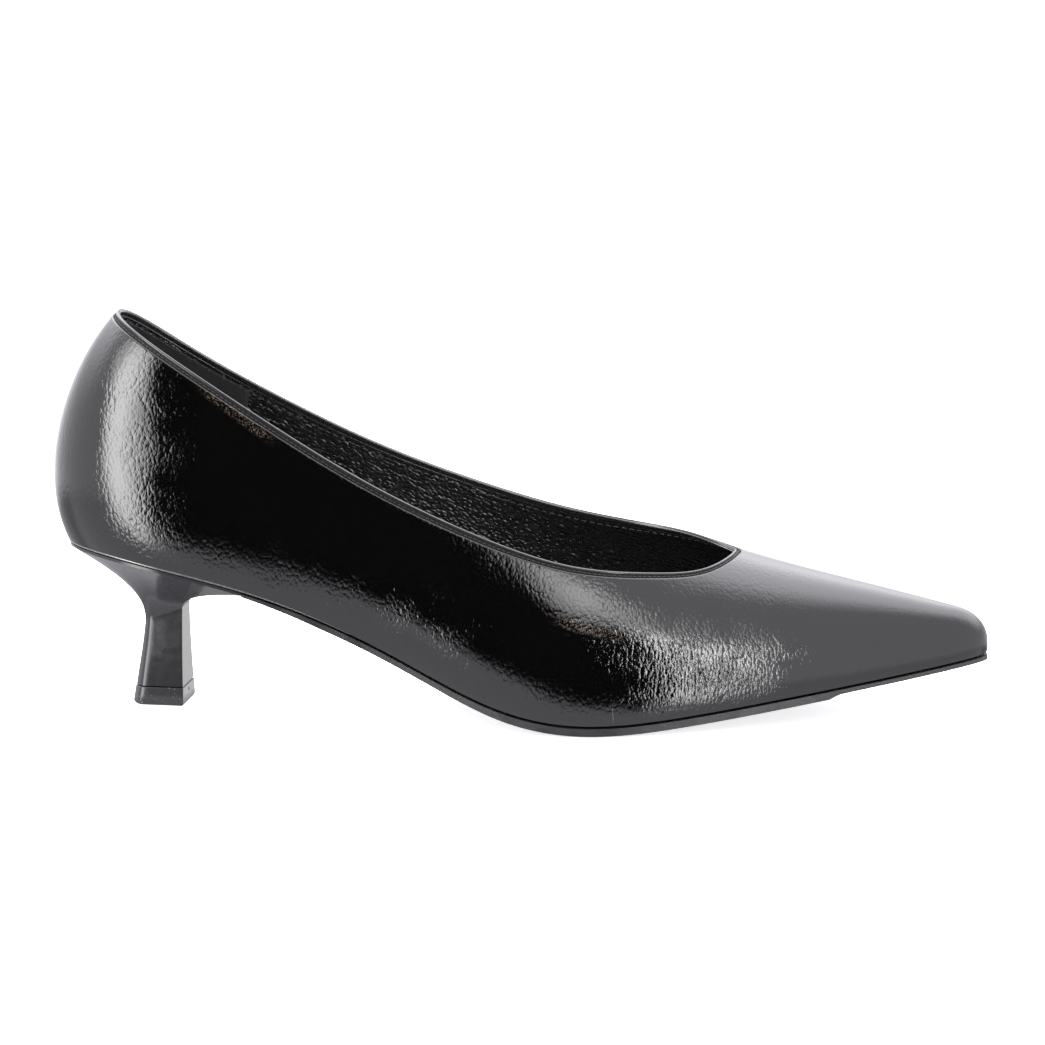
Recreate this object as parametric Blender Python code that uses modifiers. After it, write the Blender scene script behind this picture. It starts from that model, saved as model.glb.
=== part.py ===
"""Kitten heel pump with a pointed toe, a right shoe standing empty on its sole.

The shape of the last drives every piece. Each section of the last has a feather point on either side, where
the upper meets the sole, and a comb point on top. A rib curves from feather to comb, and a smooth closed
curve through the sections carries the ribs round the shoe: back, outer side, toe, inner side, back.
+X points to the toe, the outer side is at -Y, and the floor is at Z = 0.
"""

from collections import namedtuple

import bmesh
import bpy
import numpy as np

# Driving sizes of the last, in millimetres
MM = 0.001
PERCENT = 0.01
LENGTH = 268.0
BALL_WIDTH = 72.0
HEEL_HEIGHT = 46.8
INSTEP_HEIGHT = 97.0
UP = np.array((0.0, 0.0, 1.0))

# Sections of the last, from the back to the toe.
# along, comb_along: percent of LENGTH. outer, inner, comb_side: percent of BALL_WIDTH.
# feather: percent of HEEL_HEIGHT. comb: percent of INSTEP_HEIGHT. flare, fall: degrees.
# belly, crown: how far the rib runs straight from the feather and from the comb.
Section = namedtuple("Section", "along outer inner feather comb_along comb_side comb flare belly crown fall")
SECTIONS = (
    Section(1.7, 0.0, 0.0, 102.0, 16.0, 0.0, 130.0, 27, 0.36, 0.72, 0),
    Section(4.1, 21.1, 21.1, 101.4, 17.2, 0.0, 130.0, 23, 0.37, 0.70, 4),
    Section(12.3, 33.8, 33.1, 93.0, 21.6, 0.0, 127.8, 14, 0.42, 0.66, 12),
    Section(23.9, 35.0, 31.3, 75.2, 29.9, 0.0, 117.5, 14, 0.42, 0.62, 26),
    Section(36.2, 37.2, 29.2, 45.5, 39.6, 0.0, 100.0, 18, 0.42, 0.62, 33),
    Section(47.4, 45.8, 38.9, 15.8, 50.0, 1.4, 79.4, 17, 0.45, 0.62, 33),
    Section(57.8, 50.8, 48.6, 5.8, 59.7, 2.8, 63.9, 12, 0.50, 0.60, 28),
    Section(68.7, 43.4, 46.5, 10.5, 69.0, 2.8, 51.9, 10, 0.50, 0.60, 24),
    Section(79.1, 33.0, 36.4, 19.0, 78.7, 2.1, 43.7, 9, 0.52, 0.58, 18),
    Section(89.2, 21.2, 23.6, 27.7, 88.1, 0.7, 37.5, 8, 0.55, 0.58, 12),
    Section(97.0, 11.0, 11.6, 35.0, 94.8, 0.0, 33.0, 9, 0.57, 0.62, 12),
    Section(99.85, 0.0, 0.0, 37.2, 95.9, 0.0, 32.3, 10, 0.60, 0.68, 12),
)

# Height of the cut edge of the upper, percent of INSTEP_HEIGHT, at each place along the shoe.
# The two sides meet on the comb at the throat, so the throat has no row.
EdgeHeight = namedtuple("EdgeHeight", "along outer inner")
TOPLINE = (
    EdgeHeight(6.9, 116.2, 116.2),
    EdgeHeight(13.1, 105.9, 103.4),
    EdgeHeight(22.4, 89.6, 88.6),
    EdgeHeight(33.6, 71.1, 74.1),
    EdgeHeight(44.8, 56.8, 62.4),
    EdgeHeight(56.0, 47.0, 53.6),
    EdgeHeight(65.3, 44.1, 50.8),
    EdgeHeight(70.9, 44.9, 49.5),
)
THROAT = 197.2

# Walls, edges and gaps
WALL = 1.6
GAP = 0.3
BEAD_RADIUS = 0.8
INSOLE_INSET = 1.95
INSOLE_THICKNESS = 2.0
SOLE_OUTSET = 0.3

# Thickness of the outsole along the shoe, at its edge and at its middle, with a bevelled end to the tread
TREAD_END = 222.5
TREAD_BEVEL = 3.0
SoleDepth = namedtuple("SoleDepth", "x edge middle")
SOLE_DEPTHS = (
    SoleDepth(56.0, 0.8, 1.4),
    SoleDepth(80.0, 1.7, 2.2),
    SoleDepth(112.0, 1.8, 2.3),
    SoleDepth(132.0, 2.2, 3.0),
    SoleDepth(TREAD_END, 2.2, 2.8),
    SoleDepth(TREAD_END + TREAD_BEVEL, 1.3, 1.7),
    SoleDepth(LENGTH, 1.2, 1.4),
)
SOLE_LANES = (-1.0, -0.93, -0.78, -0.42, 0.0, 0.42, 0.78, 0.93, 1.0)
SOLE_LANE_DEPTHS = (0.0, 0.55, 1.0, 1.0, 1.0, 1.0, 1.0, 0.55, 0.0)

# Heel: its seat ends at the lip, and its stem is a block turned a little outward about its middle.
# The stem ends higher at its breast than at its back. Its back corners are chamfered, by shares of its length
# and half width, between the given shares of the columns from the middle of its back to its breast.
LIP = 57.0
LIP_DEPTH = 0.6
CHAMFER_LENGTH = 0.14
CHAMFER_WIDTH = 0.32
CHAMFER_PLACES = (0.46, 0.62)
STEM_MIDDLE = 31.0
STEM_TURN = 5.5
BREAST_RAISE = 5.0
TOP_PIECE_HEIGHT = 5.2
StemLevel = namedtuple("StemLevel", "z back front half_width")
STEM_TOP = StemLevel(23.0, 26.1, 37.6, 4.4)
STEM_LEVELS = (
    StemLevel(18.0, 25.5, 37.6, 4.9),
    StemLevel(12.0, 24.6, 37.7, 5.7),
    StemLevel(TOP_PIECE_HEIGHT + GAP, 23.6, 37.9, 6.5),
)
TOP_PIECE_LEVELS = (
    StemLevel(TOP_PIECE_HEIGHT, 23.4, 38.0, 6.7),
    StemLevel(0.8, 22.8, 38.1, 7.4),
    StemLevel(0.0, 23.2, 37.8, 7.0),
)
BACK_RISE = 9.0
BREAST_RISE = 4.5
CUP_REACH = 0.45

# How finely the surfaces are divided
BACK_COLUMNS = 38
FRONT_COLUMNS = 17
UPPER_ROWS = 12
SOLE_STATIONS = 44
INSOLE_STATIONS = 40
SEAT_COLUMNS = 13
BREAST_COLUMNS = 3
CUP_ROWS = 7
BEAD_FINENESS = 2
THROAT_CROWDING = 1.7
TOE_CROWDING = 1.35
SAMPLES = 2000
SMALL_STEP = 0.001
MERGE_DISTANCE = 0.01
SHARP_ANGLE = 40

# The part's origin: under the middle of the shoe, on the floor
ORIGIN = np.array((134.1, -0.7, 0.0))

# Colours, roughness and metallic value of each piece
FINISHES = {
    "upper": ((0.012, 0.012, 0.013), 0.22, 0.0),
    "topline_binding": ((0.014, 0.014, 0.015), 0.30, 0.0),
    "insole": ((0.010, 0.010, 0.010), 0.60, 0.0),
    "outsole": ((0.016, 0.016, 0.017), 0.45, 0.0),
    "heel": ((0.013, 0.013, 0.014), 0.15, 0.0),
    "heel_top_piece": ((0.018, 0.018, 0.019), 0.50, 0.0),
}


# Curves

def closed_curve(values):
    """Return the smooth closed curve through the rows of values, which it meets at whole steps."""
    count = len(values)
    unit = np.eye(count)
    system = 4 * unit + np.roll(unit, 1, axis=0) + np.roll(unit, -1, axis=0)
    slopes = np.linalg.solve(system, 3 * (np.roll(values, -1, axis=0) - np.roll(values, 1, axis=0)))

    def at(step):
        step = np.asarray(step, dtype=float)
        whole = np.floor(step)
        part = (step - whole)[..., None]
        here = whole.astype(int) % count
        there = (here + 1) % count
        rest = 1 - part
        ends = values[here] * rest**2 * (1 + 2 * part) + values[there] * part**2 * (1 + 2 * rest)
        return ends + part * rest * (slopes[here] * rest - slopes[there] * part)

    return at


def open_curve(places, values):
    """Return the smooth curve through values at places, with no bend at its two ends."""
    count = len(places)
    spans = np.diff(places)
    system = np.eye(count)
    bends = np.zeros(count)
    for i in range(1, count - 1):
        system[i, i - 1:i + 2] = spans[i - 1], 2 * (spans[i - 1] + spans[i]), spans[i]
        bends[i] = 3 * ((values[i + 1] - values[i]) / spans[i] - (values[i] - values[i - 1]) / spans[i - 1])
    bends = np.linalg.solve(system, bends)

    def at(place):
        i = np.clip(np.searchsorted(places, place) - 1, 0, count - 2)
        run = place - places[i]
        slope = (values[i + 1] - values[i]) / spans[i] - spans[i] * (2 * bends[i] + bends[i + 1]) / 3
        bend = bends[i] + run * (bends[i + 1] - bends[i]) / (3 * spans[i])
        return values[i] + run * (slope + run * bend)

    return at


def arc_between(start, start_handle, end_handle, end, rise):
    """Return the points of a cubic arc at the given rises, from 0 at its start to 1 at its end."""
    rise = np.asarray(rise, dtype=float)[..., None]
    rest = 1 - rise
    handles = 3 * rest**2 * rise * start_handle + 3 * rest * rise**2 * end_handle
    return rest**3 * start + handles + rise**3 * end


# The last

def section_values(section, side):
    """Return one section's sizes in millimetres and radians, for its outer (-1) or inner (+1) side."""
    half = section.outer if side < 0 else section.inner
    return (
        section.along * PERCENT * LENGTH,
        side * half * PERCENT * BALL_WIDTH,
        section.feather * PERCENT * HEEL_HEIGHT,
        section.comb_along * PERCENT * LENGTH,
        section.comb_side * PERCENT * BALL_WIDTH,
        section.comb * PERCENT * INSTEP_HEIGHT,
        np.radians(section.flare),
        section.belly,
        section.crown,
        np.radians(section.fall),
    )


OUTER_SIDE = [section_values(section, -1) for section in SECTIONS]
INNER_SIDE = [section_values(section, 1) for section in reversed(SECTIONS[1:-1])]
LAST = closed_curve(np.array(OUTER_SIDE + INNER_SIDE))
TOE_STEP = len(SECTIONS) - 1
FULL_TURN = 2 * TOE_STEP
FEATHER_X = 0
COMB_X = 3
COMB_Z = 5


def feather_normal(step):
    """Return the direction that points out of the feather line in plan."""
    change = LAST(np.asarray(step) + SMALL_STEP) - LAST(np.asarray(step) - SMALL_STEP)
    normal = np.stack([change[..., 1], -change[..., 0], np.zeros_like(change[..., 0])], axis=-1)
    return normal / np.linalg.norm(normal, axis=-1, keepdims=True)


def surface(step, rise):
    """Return points of the last's surface, at steps round the shoe and rises from feather to comb."""
    sizes = LAST(step)
    feather = sizes[..., 0:3]
    comb = sizes[..., 3:6]
    flare, belly, crown, fall = np.moveaxis(sizes[..., 6:10], -1, 0)
    reach = (belly * (comb - feather)[..., 2])[..., None]
    outward = feather_normal(step) * np.tan(flare)[..., None]
    feather_handle = feather + reach * (outward + UP)
    across = feather - comb
    across[..., 2] = -across[..., 0] * np.tan(fall)
    comb_handle = comb + crown[..., None] * across
    return arc_between(feather, feather_handle, comb_handle, comb, rise)


def seat_height():
    """Return the height of the feather line as a function of the place along the shoe."""
    steps = np.linspace(0, TOE_STEP, SAMPLES)
    line = LAST(steps)
    return lambda x: np.interp(x, line[:, 0], line[:, 2])


SEAT = seat_height()


def step_where(column, value):
    """Return the step on the outer side where one of the last's sizes reaches a value."""
    steps = np.linspace(0, TOE_STEP, SAMPLES)
    return float(np.interp(value, LAST(steps)[:, column], steps))


THROAT_STEP = step_where(COMB_X, THROAT)
LIP_STEP = step_where(FEATHER_X, LIP)


def edge_heights():
    """Return the height of the upper's cut edge along the shoe, for the outer and the inner side."""
    places = np.array([row.along * PERCENT * LENGTH for row in TOPLINE] + [THROAT])
    throat_height = float(LAST(THROAT_STEP)[COMB_Z])
    outer = np.array([row.outer * PERCENT * INSTEP_HEIGHT for row in TOPLINE] + [throat_height])
    inner = np.array([row.inner * PERCENT * INSTEP_HEIGHT for row in TOPLINE] + [throat_height])
    return {-1: open_curve(places, outer), 1: open_curve(places, inner)}


EDGE = edge_heights()


def edge_rise(step):
    """Return how far up its rib the upper reaches: to its cut edge, or to the comb before the throat."""
    side = -1 if step <= TOE_STEP else 1
    if min(step, FULL_TURN - step) >= THROAT_STEP:
        return 1.0
    rises = np.linspace(0, 1, SAMPLES)
    rib = surface(np.full(rises.shape, step), rises)
    above = rib[:, 2] - EDGE[side](rib[:, 0])
    first = int(np.argmax(above > 0))
    return float(np.interp(0.0, above[first - 1:first + 1], rises[first - 1:first + 1]))


def crowded(first, last, count, crowding):
    """Return steps from first to last, closest together at the last."""
    return first + (last - first) * (1 - (1 - np.linspace(0, 1, count + 1)) ** crowding)


def collar_columns():
    """Return the steps of the ribs on the outer side from the back to the throat."""
    return crowded(0, THROAT_STEP, BACK_COLUMNS, THROAT_CROWDING)


def upper_columns():
    """Return the steps of the upper's ribs right round the shoe."""
    toe_columns = crowded(THROAT_STEP, TOE_STEP, FRONT_COLUMNS, TOE_CROWDING)
    outer = np.concatenate([collar_columns(), toe_columns[1:]])
    return np.concatenate([outer, FULL_TURN - outer[-2:0:-1]])


# Mesh helpers

def make_object(name, points, faces, collection):
    """Add a mesh object from points in millimetres, its doubled points merged and its faces pointing out."""
    mesh = bpy.data.meshes.new(name)
    mesh.from_pydata([tuple((np.asarray(point) - ORIGIN) * MM) for point in points], [], faces)
    built = bmesh.new()
    built.from_mesh(mesh)
    bmesh.ops.remove_doubles(built, verts=built.verts, dist=MERGE_DISTANCE * MM)
    if all(edge.is_manifold for edge in built.edges):
        bmesh.ops.recalc_face_normals(built, faces=built.faces)
    built.to_mesh(mesh)
    built.free()
    mesh.shade_smooth()
    mesh.set_sharp_from_angle(angle=np.radians(SHARP_ANGLE))
    part = bpy.data.objects.new(name, mesh)
    collection.objects.link(part)
    return part


def skin(rings, closed_ends=True):
    """Return points and faces of the skin over rings of equal length, in order, with its ends closed."""
    count = len(rings[0])
    points = [point for ring in rings for point in ring]
    faces = []
    for level in range(len(rings) - 1):
        for i in range(count):
            near = level * count + i
            beside = level * count + (i + 1) % count
            faces.append((near, beside, beside + count, near + count))
    if closed_ends:
        faces.append(tuple(reversed(range(count))))
        faces.append(tuple(range(len(points) - count, len(points))))
    return points, faces


def finish(part):
    """Give a piece its own material."""
    colour, roughness, metallic = FINISHES[part.name]
    material = bpy.data.materials.new(part.name)
    material.use_nodes = True
    shader = material.node_tree.nodes["Principled BSDF"]
    shader.inputs["Base Color"].default_value = (*colour, 1.0)
    shader.inputs["Roughness"].default_value = roughness
    shader.inputs["Metallic"].default_value = metallic
    part.data.materials.append(material)


# Pieces

def make_upper(collection):
    """The upper: ribs from the feather line to the cut edge, given its wall on the inside."""
    columns = upper_columns()
    rises = np.linspace(0, 1, UPPER_ROWS)
    ribs = [surface(np.full(rises.shape, step), rises * edge_rise(step)) for step in columns]
    levels = np.swapaxes(np.array(ribs), 0, 1)
    points, faces = skin(levels, closed_ends=False)
    upper = make_object("upper", points, faces, collection)
    wall = upper.modifiers.new("wall", "SOLIDIFY")
    wall.thickness = WALL * MM
    wall.offset = -1.0
    wall.use_even_offset = True
    wall.use_quality_normals = True
    return upper


def bead_line():
    """Return the middle line of the bead, which stands a gap off the upper's cut edge all the way round."""
    outer = collar_columns()
    columns = np.concatenate([FULL_TURN - outer[::-1], outer[1:-1]])
    rises = np.array([edge_rise(step) for step in columns])
    edge = surface(columns, rises)
    along = np.roll(edge, -1, axis=0) - np.roll(edge, 1, axis=0)
    along /= np.linalg.norm(along, axis=1, keepdims=True)
    round_shoe = surface(columns + SMALL_STEP, rises) - surface(columns - SMALL_STEP, rises)
    up_rib = edge - surface(columns, rises - SMALL_STEP)
    out = np.cross(round_shoe, up_rib)
    out /= np.linalg.norm(out, axis=1, keepdims=True)
    off_edge = np.cross(out, along)
    return edge - out * WALL / 2 + off_edge * (BEAD_RADIUS + GAP)


def make_topline_binding(collection):
    """The rolled bead along the upper's cut edge, a round closed tube."""
    line = bead_line()
    curve = bpy.data.curves.new("topline_binding", "CURVE")
    curve.dimensions = "3D"
    curve.bevel_depth = BEAD_RADIUS * MM
    curve.bevel_resolution = BEAD_FINENESS
    spline = curve.splines.new("POLY")
    spline.points.add(len(line) - 1)
    for point, place in zip(spline.points, line):
        point.co = (*((place - ORIGIN) * MM), 1.0)
    spline.use_cyclic_u = True
    binding = bpy.data.objects.new("topline_binding", curve)
    collection.objects.link(binding)
    return binding


def feather_pair(step, outset):
    """Return the outer and inner points at one step of the feather line, moved out of it by outset."""
    steps = np.array((step, FULL_TURN - step))
    return LAST(steps)[:, 0:3] + outset * feather_normal(steps)


def stations(first, last, count):
    """Return steps from first to last, closer together towards both ends."""
    return first + (last - first) * (1 - np.cos(np.linspace(0, np.pi, count))) / 2


def make_insole(collection):
    """The insole: a plate inside the upper's wall, on the feather line."""
    rings = []
    for step in stations(0, TOE_STEP, INSOLE_STATIONS):
        outer, inner = feather_pair(step, -INSOLE_INSET)
        plate = np.array((outer, inner, inner, outer))
        plate[:, 2] = SEAT(plate[:, 0])
        plate[2:, 2] += INSOLE_THICKNESS
        rings.append(plate)
    return make_object("insole", *skin(rings), collection)


def make_outsole(collection):
    """The outsole: from the heel's lip to the toe, flat where it stands on the floor."""
    places = [row.x for row in SOLE_DEPTHS]
    lanes = np.array(SOLE_LANES)
    deep = np.array(SOLE_LANE_DEPTHS)
    bevel = [step_where(FEATHER_X, x) for x in (TREAD_END, TREAD_END + TREAD_BEVEL)]
    first = step_where(FEATHER_X, LIP + GAP)
    steps = np.sort(np.append(stations(first, TOE_STEP, SOLE_STATIONS), bevel))
    rings = []
    for step in steps:
        outer, inner = feather_pair(step, SOLE_OUTSET)
        top = outer + np.outer((lanes + 1) / 2, inner - outer)
        top[:, 2] = SEAT(top[:, 0]) - GAP
        edge = np.interp(top[:, 0], places, [row.edge for row in SOLE_DEPTHS])
        middle = np.interp(top[:, 0], places, [row.middle for row in SOLE_DEPTHS])
        bottom = top.copy()
        bottom[:, 2] = np.maximum(top[:, 2] - edge - (middle - edge) * deep, 0.0)
        rings.append(np.concatenate([top, bottom[::-1]]))
    return make_object("outsole", *skin(rings), collection)


def stem_ring(level, raised=0.0):
    """Return one level of the stem: round its back and sides, then across its breast, which may be raised."""
    columns = np.arange(-SEAT_COLUMNS, SEAT_COLUMNS + 1)
    corners = np.rint(SEAT_COLUMNS * np.array((0.0, *CHAMFER_PLACES, 1.0)))
    forward = np.interp(np.abs(columns), corners, (0.0, 0.0, CHAMFER_LENGTH, 1.0))
    across = np.sign(columns) * np.interp(np.abs(columns), corners, (0.0, 1.0 - CHAMFER_WIDTH, 1.0, 1.0))
    breast = 1 - 2 * np.linspace(0, 1, BREAST_COLUMNS + 2)[1:-1]
    forward = np.concatenate([forward, np.ones(BREAST_COLUMNS)])
    across = level.half_width * np.concatenate([across, breast])
    ahead = level.back + (level.front - level.back) * forward - STEM_MIDDLE
    turn = np.radians(STEM_TURN)
    x = STEM_MIDDLE + ahead * np.cos(turn) + across * np.sin(turn)
    y = across * np.cos(turn) - ahead * np.sin(turn)
    return np.stack([x, y, level.z + raised * forward], axis=1)


def seat_ring():
    """Return the heel's top rim: along the feather line round the back, then across the lip."""
    steps = np.linspace(-LIP_STEP, LIP_STEP, 2 * SEAT_COLUMNS + 1)
    rim = LAST(-steps % FULL_TURN)[:, 0:3]
    share = np.linspace(0, 1, BREAST_COLUMNS + 2)[1:-1, None]
    return np.concatenate([rim, rim[-1] + share * (rim[0] - rim[-1])]) - GAP * UP


def make_heel(collection):
    """The heel: a cup under the seat that draws in to the stem, and the stem that flares to its foot."""
    rim = seat_ring()
    stem = stem_ring(STEM_TOP, BREAST_RAISE)
    edge = rim - LIP_DEPTH * UP
    forward = (stem[:, 2] - STEM_TOP.z) / BREAST_RAISE
    stem_handle = stem + np.outer(BACK_RISE + (BREAST_RISE - BACK_RISE) * forward, UP)
    edge_handle = edge + CUP_REACH * (stem_handle - edge)
    cup = [arc_between(edge, edge_handle, stem_handle, stem, share) for share in np.linspace(0, 1, CUP_ROWS)]
    foot = STEM_LEVELS[-1].z
    raises = [BREAST_RAISE * (level.z - foot) / (STEM_TOP.z - foot) for level in STEM_LEVELS]
    rings = cup + [stem_ring(level, raised) for level, raised in zip(STEM_LEVELS, raises)]
    points, faces = skin([rim] + rings, closed_ends=False)
    count = len(rim)
    faces.append(tuple(range(len(points) - count, len(points))))
    last = 2 * SEAT_COLUMNS
    faces.extend((i, i + 1, last - i - 1, last - i) for i in range(1, SEAT_COLUMNS - 1))
    faces.append((SEAT_COLUMNS - 1, SEAT_COLUMNS, SEAT_COLUMNS + 1))
    faces.append((0, 1, last - 1, last, *range(last + 1, count)))
    return make_object("heel", points, faces, collection)


def make_heel_top_piece(collection):
    """The wearing block under the heel, its lower edge broken."""
    rings = [stem_ring(level) for level in TOP_PIECE_LEVELS]
    return make_object("heel_top_piece", *skin(rings), collection)


def main():
    for old in list(bpy.data.objects):
        bpy.data.objects.remove(old)
    collection = bpy.data.collections.new("kitten_heel_pump")
    bpy.context.scene.collection.children.link(collection)
    makers = (make_upper, make_topline_binding, make_insole, make_outsole, make_heel, make_heel_top_piece)
    for make in makers:
        finish(make(collection))


main()
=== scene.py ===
"""Looks of the kitten heel pump: fine surfaces, materials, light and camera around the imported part.

The shape of the last is worked out here as in the part's source, in millimetres, with +X to the toe,
the outer side at -Y and the floor at Z = 0. Each mesh is moved to the row's origin and to metres when made.
"""

from collections import namedtuple

import bmesh
import bpy
import numpy as np
from mathutils import Matrix, Vector


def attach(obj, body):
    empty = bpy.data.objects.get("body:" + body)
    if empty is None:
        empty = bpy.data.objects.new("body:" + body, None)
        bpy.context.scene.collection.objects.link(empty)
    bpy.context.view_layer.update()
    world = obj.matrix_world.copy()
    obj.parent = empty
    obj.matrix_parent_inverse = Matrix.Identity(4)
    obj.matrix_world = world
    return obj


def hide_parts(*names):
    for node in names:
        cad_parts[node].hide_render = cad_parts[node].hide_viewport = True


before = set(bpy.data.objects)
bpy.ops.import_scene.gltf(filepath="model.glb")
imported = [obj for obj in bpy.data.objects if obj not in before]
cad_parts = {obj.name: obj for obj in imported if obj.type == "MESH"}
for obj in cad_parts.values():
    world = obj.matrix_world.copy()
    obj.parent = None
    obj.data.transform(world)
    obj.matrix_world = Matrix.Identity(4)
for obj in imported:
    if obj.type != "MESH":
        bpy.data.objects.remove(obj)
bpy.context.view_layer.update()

# Driving sizes of the last, in millimetres, and the row's origin in the same units
MM = 0.001
PERCENT = 0.01
LENGTH = 268.0
BALL_WIDTH = 72.0
HEEL_HEIGHT = 46.8
INSTEP_HEIGHT = 97.0
ORIGIN = np.array((134.1, -0.7, 0.0))
UP = np.array((0.0, 0.0, 1.0))
OUTER = -1
INNER = 1

# Sections of the last, from the back to the toe.
# along, comb_along: percent of LENGTH. outer, inner, comb_side: percent of BALL_WIDTH.
# feather: percent of HEEL_HEIGHT. comb: percent of INSTEP_HEIGHT. flare, fall: degrees.
# belly, crown: how far the rib runs straight from the feather and from the comb.
Section = namedtuple("Section", "along outer inner feather comb_along comb_side comb flare belly crown fall")
SECTIONS = (
    Section(1.7, 0.0, 0.0, 102.0, 16.0, 0.0, 130.0, 27, 0.36, 0.72, 0),
    Section(4.1, 21.1, 21.1, 101.4, 17.2, 0.0, 130.0, 23, 0.37, 0.70, 4),
    Section(12.3, 33.8, 33.1, 93.0, 21.6, 0.0, 127.8, 14, 0.42, 0.66, 12),
    Section(23.9, 35.0, 31.3, 75.2, 29.9, 0.0, 117.5, 14, 0.42, 0.62, 26),
    Section(36.2, 37.2, 29.2, 45.5, 39.6, 0.0, 100.0, 18, 0.42, 0.62, 33),
    Section(47.4, 45.8, 38.9, 15.8, 50.0, 1.4, 79.4, 17, 0.45, 0.62, 33),
    Section(57.8, 50.8, 48.6, 5.8, 59.7, 2.8, 63.9, 12, 0.50, 0.60, 28),
    Section(68.7, 43.4, 46.5, 10.5, 69.0, 2.8, 51.9, 10, 0.50, 0.60, 24),
    Section(79.1, 33.0, 36.4, 19.0, 78.7, 2.1, 43.7, 9, 0.52, 0.58, 18),
    Section(89.2, 21.2, 23.6, 27.7, 88.1, 0.7, 37.5, 8, 0.55, 0.58, 12),
    Section(97.0, 11.0, 11.6, 35.0, 94.8, 0.0, 33.0, 9, 0.57, 0.62, 12),
    Section(99.85, 0.0, 0.0, 37.2, 95.9, 0.0, 32.3, 10, 0.60, 0.68, 12),
)

# Height of the cut edge of the upper, percent of INSTEP_HEIGHT, at each place along the shoe
EdgeHeight = namedtuple("EdgeHeight", "along outer inner")
TOPLINE = (
    EdgeHeight(6.9, 116.2, 116.2),
    EdgeHeight(13.1, 105.9, 103.4),
    EdgeHeight(22.4, 89.6, 88.6),
    EdgeHeight(33.6, 71.1, 74.1),
    EdgeHeight(44.8, 56.8, 62.4),
    EdgeHeight(56.0, 47.0, 53.6),
    EdgeHeight(65.3, 44.1, 50.8),
    EdgeHeight(70.9, 44.9, 49.5),
)
THROAT = 197.2

# Walls and gaps
WALL = 1.6
GAP = 0.3
LEATHER = 0.8
LINING_DEPTH = 0.85
LINING = 0.75

# Soft creases of the leather: a line from place to place on one side, its half width and its depth
Crease = namedtuple("Crease", "side x0 z0 x1 z1 half_width depth")
CREASES = (
    Crease(OUTER, 150.0, 44.0, 170.0, 14.0, 7.0, 0.16),
    Crease(OUTER, 118.0, 52.0, 134.0, 24.0, 8.0, 0.12),
    Crease(OUTER, 62.0, 78.0, 68.0, 44.0, 5.0, 0.10),
    Crease(INNER, 148.0, 46.0, 168.0, 14.0, 7.0, 0.16),
    Crease(INNER, 116.0, 54.0, 130.0, 24.0, 8.0, 0.12),
    Crease(INNER, 62.0, 78.0, 68.0, 44.0, 5.0, 0.10),
)

# The leather's foot is rolled under, and shows a fold above the heel that thins out along the arch
FEATHER_ROLL = 0.6
FOLD_END = 95.0
FOLD_RADIUS = 0.3
FOLD_UP = 0.5
FOLD_RINGS = 260
FOLD_SIDES = 10

# The leather's cut edge is rolled in. The binding comes out from behind it: a dull strip, a glossy rim and
# its inner face, with the lining's fold below that. Each point of a profile lies so far out from the
# leather's outer face, and so far up from its cut edge.
EDGE_ROLL = 0.5
STRIP_PROFILE = (
    (-0.78, -0.90), (-0.58, -0.60), (-0.55, 0.00), (-0.52, 0.60), (-0.50, 1.20), (-0.75, 1.25), (-0.95, 0.60),
    (-0.95, -0.60),
)
RIM_PROFILE = (
    (-0.50, 1.04), (-0.34, 1.08), (-0.22, 1.22), (-0.18, 1.42), (-0.24, 1.64), (-0.40, 1.80), (-0.62, 1.88),
    (-0.86, 1.86), (-1.00, 1.76), (-1.00, 1.30), (-0.75, 1.10),
)
INNER_PROFILE = (
    (-0.92, 1.66), (-0.98, 1.82), (-1.16, 1.88), (-1.38, 1.80), (-1.54, 1.62), (-1.64, 1.36), (-1.70, 0.90),
    (-1.72, 0.38), (-1.64, 0.24), (-1.40, 0.20), (-1.00, 0.80),
)
FOLD_PROFILE = (
    (-1.52, 0.30), (-1.72, 0.28), (-1.85, 0.12), (-1.88, -0.08), (-1.80, -0.28), (-1.62, -0.36),
    (-1.50, -0.20),
)

# Rows of stitches: in the binding's strip, and through the lining below its fold
StitchRow = namedtuple("StitchRow", "name out up pitch length radius")
OUTER_STITCHES = StitchRow("outer_stitches", -0.38, 0.45, 1.45, 1.15, 0.14)
INNER_STITCHES = StitchRow("inner_stitches", -1.66, -1.25, 2.4, 1.5, 0.2)
STITCH_TAPER = 0.8
STITCH_DIVE = 1.2

# Lining: the heel grip reaches forward to its seam
GRIP_SEAM = 50.0
GRIP = 0.25
GRIP_TOP = 0.98
GRIP_FOOT = 0.06

# Insole
INSOLE_INSET = 1.95
INSOLE_THICKNESS = 2.0
INSOLE_DISH = 0.5

# Thickness of the outsole along the shoe, at its edge and at its middle, with a bevelled end to the tread.
# Its underside is flat over a share of its half width.
SOLE_OUTSET = 0.3
SOLE_FLAT = 0.78
TREAD_END = 222.5
TREAD_BEVEL = 3.0
SoleDepth = namedtuple("SoleDepth", "x edge middle")
SOLE_DEPTHS = (
    SoleDepth(56.0, 0.8, 1.4),
    SoleDepth(80.0, 1.7, 2.2),
    SoleDepth(112.0, 1.8, 2.3),
    SoleDepth(132.0, 2.2, 3.0),
    SoleDepth(TREAD_END, 2.2, 2.8),
    SoleDepth(TREAD_END + TREAD_BEVEL, 1.3, 1.7),
    SoleDepth(LENGTH, 1.2, 1.4),
)
SOLE_EDGE_BEVEL = 0.35
SOLE_JOIN = 0.02

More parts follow.
